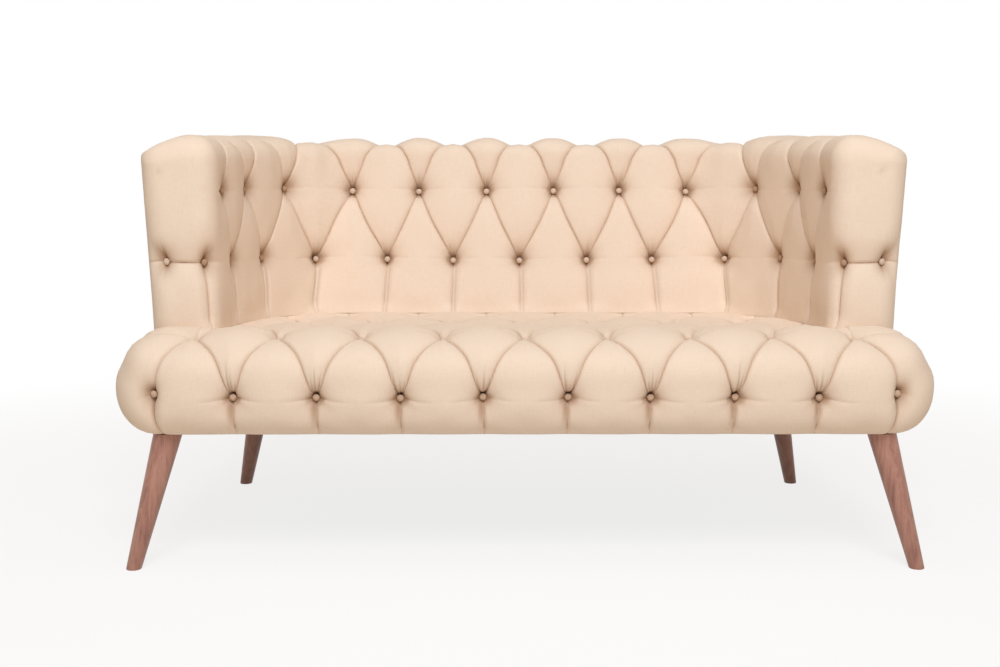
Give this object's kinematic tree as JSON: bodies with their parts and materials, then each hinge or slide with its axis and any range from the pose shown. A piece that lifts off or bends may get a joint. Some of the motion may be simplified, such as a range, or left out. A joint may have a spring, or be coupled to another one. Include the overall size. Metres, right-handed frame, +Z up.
{
  "type": "two-seater sofa",
  "caption": "Two-seater sofa with a deep button-tufted seat, back and arms in pale linen, on splayed tapered wooden legs.",
  "frame": {"origin": "middle of the bounding box in plan, on the floor that the legs stand on", "axes": "+Z up, -Y out of the front of the seat, +X to the right of someone who faces the sofa"},
  "size_m": [1.3982, 0.7554, 0.7456],
  "materials": {
    "linen": "matte woven linen",
    "walnut": "satin walnut stain",
    "beech": "sawn, unfinished",
    "zinc_plated_steel": "zinc plated",
    "webbing": "woven elastic",
    "foam": "open-cell foam",
    "dust_cloth": "black non-woven cloth"
  },
  "bodies": {
    "root": {"arm_cover_left": "linen", "arm_cover_right": "linen", "arm_foam_left": "foam", "arm_foam_right": "foam", "arm_frame_left": "beech", "arm_frame_right": "beech", "back_button_lower_01": "linen", "back_button_lower_02": "linen", "back_button_lower_03": "linen", "back_button_lower_04": "linen", "back_button_lower_05": "linen", "back_button_lower_06": "linen", "back_button_lower_07": "linen", "back_button_upper_01": "linen", "back_button_upper_02": "linen", "back_button_upper_03": "linen", "back_button_upper_04": "linen", "back_button_upper_05": "linen", "back_button_upper_06": "linen", "back_cover": "linen", "back_foam": "foam", "back_lower_rail": "beech", "back_post_left": "beech", "back_post_right": "beech", "back_top_rail": "beech", "back_webbing": "webbing", "corner_block_front_left": "beech", "corner_block_front_right": "beech", "corner_block_rear_left": "beech", "corner_block_rear_right": "beech", "dust_cover": "dust_cloth", "hanger_bolt_front_left": "zinc_plated_steel", "hanger_bolt_front_right": "zinc_plated_steel", "hanger_bolt_rear_left": "zinc_plated_steel", "hanger_bolt_rear_right": "zinc_plated_steel", "leg_front_left": "walnut", "leg_front_right": "walnut", "leg_rear_left": "walnut", "leg_rear_right": "walnut", "outer_panel_back": "linen", "outer_panel_left": "linen", "outer_panel_right": "linen", "seat_button_01": "linen", "seat_button_02": "linen", "seat_button_03": "linen", "seat_button_04": "linen", "seat_button_05": "linen", "seat_button_06": "linen", "seat_button_07": "linen", "seat_button_08": "linen", "seat_button_09": "linen", "seat_button_10": "linen", "seat_cover": "linen", "seat_foam": "foam", "seat_rail_centre": "beech", "seat_rail_front": "beech", "seat_rail_left": "beech", "seat_rail_rear": "beech", "seat_rail_right": "beech", "seat_webbing": "webbing"}
  },
  "joints": []
}
